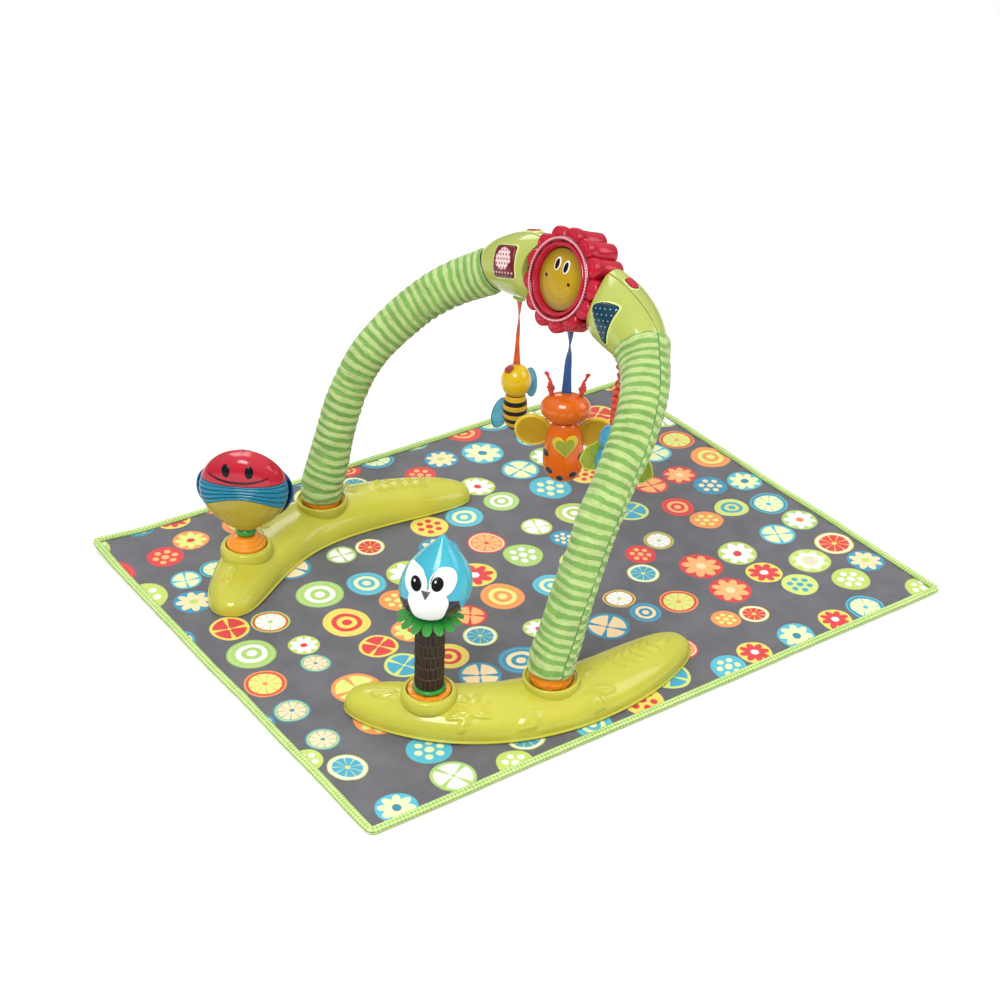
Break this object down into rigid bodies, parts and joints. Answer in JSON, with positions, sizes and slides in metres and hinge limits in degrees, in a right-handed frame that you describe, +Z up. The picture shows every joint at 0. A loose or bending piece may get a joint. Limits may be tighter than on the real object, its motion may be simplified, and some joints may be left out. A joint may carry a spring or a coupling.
{
  "type": "activity play gym",
  "caption": "Padded play mat with a cloth-covered toy arch on two crescent bases, a flower sound unit, hanging soft toys and two spinning toys.",
  "frame": {"origin": "middle of the mat on the floor", "axes": "+X along the mat's long side, from the head end towards the feet; +Y across the mat to the left; +Z up"},
  "size_m": [0.81, 0.638, 0.4398],
  "materials": {
    "mat_cloth": "printed quilted polyester, matt",
    "binding_cloth": "rolled woven binding",
    "lime_plastic": "glossy moulded",
    "orange_plastic": "glossy moulded",
    "tube_plastic": "extruded",
    "sleeve_cloth": "striped gathered knit",
    "lobe_plastic": "glossy moulded",
    "white_plastic": "satin moulded",
    "crimson_plastic": "glossy, dotted",
    "navy_plastic": "glossy, dotted",
    "red_plastic": "glossy moulded",
    "yellow_plastic": "glossy, slightly clear",
    "board_laminate": "green laminate",
    "speaker_steel": "plain",
    "battery_can": "plain sleeve",
    "orange_ribbon": "satin ribbon",
    "blue_ribbon": "satin ribbon",
    "red_ribbon": "gathered ribbon",
    "bee_yellow_plastic": "glossy moulded",
    "bee_plush": "short pile, black and yellow bands",
    "wing_cloth": "padded satin",
    "butterfly_plastic": "glossy moulded",
    "mustard_plastic": "glossy moulded",
    "olive_plastic": "glossy moulded",
    "turquoise_plastic": "glossy moulded",
    "leaf_cloth": "padded satin with a yellow edge",
    "leaf_plastic": "glossy moulded",
    "trunk_plastic": "satin moulded, brick relief",
    "royal_plastic": "glossy moulded"
  },
  "bodies": {
    "mat_and_bases": {"play_mat": "mat_cloth", "mat_binding": "binding_cloth", "left_base_shell": "lime_plastic", "right_base_shell": "lime_plastic", "left_base_plate": "lime_plastic", "right_base_plate": "lime_plastic", "bird_plug": "orange_plastic", "trunk_ring": "leaf_plastic", "bird_trunk": "trunk_plastic", "leaf_collar": "leaf_plastic", "spinner_plug": "orange_plastic", "spinner_neck": "leaf_plastic"},
    "arch": {"left_foot_plug": "orange_plastic", "right_foot_plug": "orange_plastic", "left_leg_tube": "tube_plastic", "right_leg_tube": "tube_plastic", "left_sleeve": "sleeve_cloth", "right_sleeve": "sleeve_cloth", "left_lobe_front": "lobe_plastic", "left_lobe_rear": "lobe_plastic", "right_lobe_front": "lobe_plastic", "right_lobe_rear": "lobe_plastic", "left_switch_carrier": "white_plastic", "right_switch_carrier": "white_plastic", "petal_bezel": "red_plastic", "drum_shell": "red_plastic", "battery_door": "red_plastic", "face_lens": "yellow_plastic", "circuit_board": "board_laminate", "speaker": "speaker_steel", "battery_1": "battery_can", "battery_2": "battery_can"},
    "melody_key": {"melody_button": "crimson_plastic"},
    "rhythm_key": {"rhythm_button": "navy_plastic"},
    "volume_key": {"volume_button": "red_plastic"},
    "mode_key": {"mode_button": "red_plastic"},
    "bee_ribbon": {"bee_strap": "orange_ribbon"},
    "bee": {"bee_head": "bee_yellow_plastic", "bee_body": "bee_plush", "bee_left_wing": "wing_cloth", "bee_right_wing": "wing_cloth"},
    "butterfly_ribbon": {"butterfly_strap": "blue_ribbon"},
    "butterfly": {"butterfly_head": "butterfly_plastic", "butterfly_body": "butterfly_plastic", "butterfly_left_wing": "mustard_plastic", "butterfly_right_wing": "mustard_plastic", "butterfly_left_antenna": "red_ribbon", "butterfly_right_antenna": "red_ribbon", "butterfly_heart": "olive_plastic"},
    "beetle_ribbon": {"beetle_strap": "red_ribbon"},
    "beetle": {"beetle_head": "turquoise_plastic", "beetle_body": "turquoise_plastic", "beetle_left_wing": "leaf_cloth", "beetle_right_wing": "leaf_cloth"},
    "bird": {"bird_head_shell": "turquoise_plastic", "bird_face_shell": "white_plastic"},
    "round_face": {"spinner_belly": "mustard_plastic", "spinner_band": "turquoise_plastic", "spinner_face": "red_plastic", "spinner_back_shell": "royal_plastic"}
  },
  "joints": [
    {"name": "arch_lift", "type": "slide", "parent": "mat_and_bases", "child": "arch", "axis": [0, 0, 1], "range_m": [0, 0.04]},
    {"name": "melody_press", "type": "slide", "parent": "arch", "child": "melody_key", "axis": [0.9389, 0.0504, -0.3404], "range_m": [0, 0.002], "stiffness_N_per_m": 300, "springref_m": -0.001},
    {"name": "rhythm_press", "type": "slide", "parent": "arch", "child": "rhythm_key", "axis": [0.9739, -0.0157, -0.2263], "range_m": [0, 0.002], "stiffness_N_per_m": 300, "springref_m": -0.001},
    {"name": "volume_press", "type": "slide", "parent": "arch", "child": "volume_key", "axis": [-0.1496, -0.2489, -0.9569], "range_m": [0, 0.0015], "stiffness_N_per_m": 200, "springref_m": -0.001},
    {"name": "mode_press", "type": "slide", "parent": "arch", "child": "mode_key", "axis": [-0.1691, 0.2361, -0.9569], "range_m": [0, 0.0015], "stiffness_N_per_m": 200, "springref_m": -0.001},
    {"name": "bee_swing", "type": "hinge", "parent": "arch", "child": "bee_ribbon", "pos_m": [0.04424, 0.07401, 0.318], "axis": [-0.0401, 0.9992, 0], "range_deg": [-35, 35]},
    {"name": "bee_tilt", "type": "hinge", "parent": "bee_ribbon", "child": "bee", "pos_m": [0.04424, 0.07401, 0.234], "axis": [0.7859, -0.6184, 0], "range_deg": [-20, 20]},
    {"name": "butterfly_swing", "type": "hinge", "parent": "arch", "child": "butterfly_ribbon", "pos_m": [0.05085, -0.01579, 0.318], "axis": [-0.0401, 0.9992, 0], "range_deg": [-35, 35]},
    {"name": "butterfly_tilt", "type": "hinge", "parent": "butterfly_ribbon", "child": "butterfly", "pos_m": [0.05085, -0.01579, 0.234], "axis": [0.7859, -0.6184, 0], "range_deg": [-20, 20]},
    {"name": "beetle_swing", "type": "hinge", "parent": "arch", "child": "beetle_ribbon", "pos_m": [0.05146, -0.10584, 0.318], "axis": [-0.0401, 0.9992, 0], "range_deg": [-35, 35]},
    {"name": "beetle_tilt", "type": "hinge", "parent": "beetle_ribbon", "child": "beetle", "pos_m": [0.05146, -0.10584, 0.234], "axis": [0.7859, -0.6184, 0], "range_deg": [-20, 20]},
    {"name": "bird_spin", "type": "hinge", "parent": "mat_and_bases", "child": "bird", "pos_m": [-0.25345, -0.19461, 0.1525], "axis": [0, 0, 1], "continuous": true},
    {"name": "round_face_spin", "type": "hinge", "parent": "mat_and_bases", "child": "round_face", "pos_m": [-0.27623, 0.16015, 0.0815], "axis": [0, 0, 1], "continuous": true}
  ]
}
